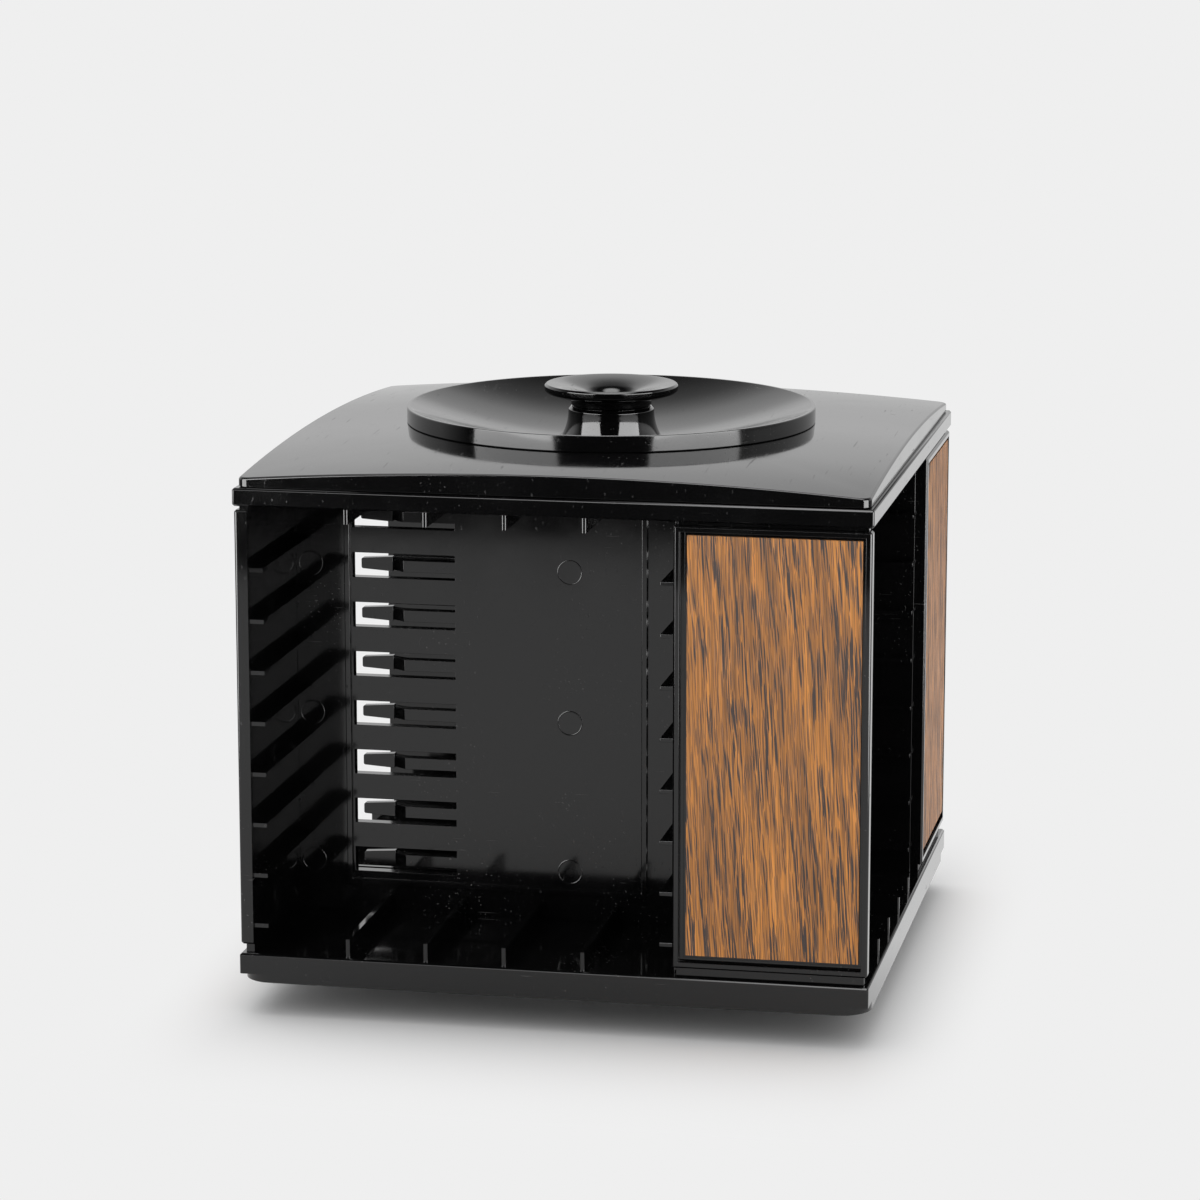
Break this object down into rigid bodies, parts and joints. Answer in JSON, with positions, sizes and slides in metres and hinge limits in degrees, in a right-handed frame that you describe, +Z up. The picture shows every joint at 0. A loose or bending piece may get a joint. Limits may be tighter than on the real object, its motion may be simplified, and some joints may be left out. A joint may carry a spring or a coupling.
{
  "type": "rotating cassette tower",
  "caption": "Square desktop tower of open cassette bays in a pinwheel, turning on a round foot, with a domed lid, a dish and a finger knob on top.",
  "frame": {"origin": "on the spin axis at the table, midway between the rubber pads", "axes": "+Z up along the spin axis, -Y out of the front bay's opening, +X to the right of the front bay"},
  "size_m": [0.154, 0.154, 0.1465],
  "materials": {
    "black_polystyrene": "polished black polystyrene",
    "wood_grain": "satin oak-brown wood-grain sheet with dark streaks",
    "foot_rubber": "matt black rubber",
    "zinc_steel": "zinc-plated steel",
    "nylon": "natural nylon",
    "brass": "turned brass"
  },
  "bodies": {
    "base": {"base_foot": "black_polystyrene", "foot_pads": "foot_rubber", "thrust_washer": "nylon"},
    "tower": {"bottom_tray": "black_polystyrene", "top_frame": "black_polystyrene", "lid": "black_polystyrene", "top_dish": "black_polystyrene", "knob": "black_polystyrene", "tie_bolt": "zinc_steel", "retaining_washer": "zinc_steel", "knob_insert": "brass", "wall_front": "black_polystyrene", "panel_front": "black_polystyrene", "wood_inlay_front": "wood_grain", "wall_right": "black_polystyrene", "panel_right": "black_polystyrene", "wood_inlay_right": "wood_grain", "wall_back": "black_polystyrene", "panel_back": "black_polystyrene", "wood_inlay_back": "wood_grain", "wall_left": "black_polystyrene", "panel_left": "black_polystyrene", "wood_inlay_left": "wood_grain"}
  },
  "joints": [
    {"name": "tower_spin", "type": "hinge", "parent": "base", "child": "tower", "pos_m": [0, 0, 0], "axis": [0, 0, 1], "continuous": true}
  ]
}
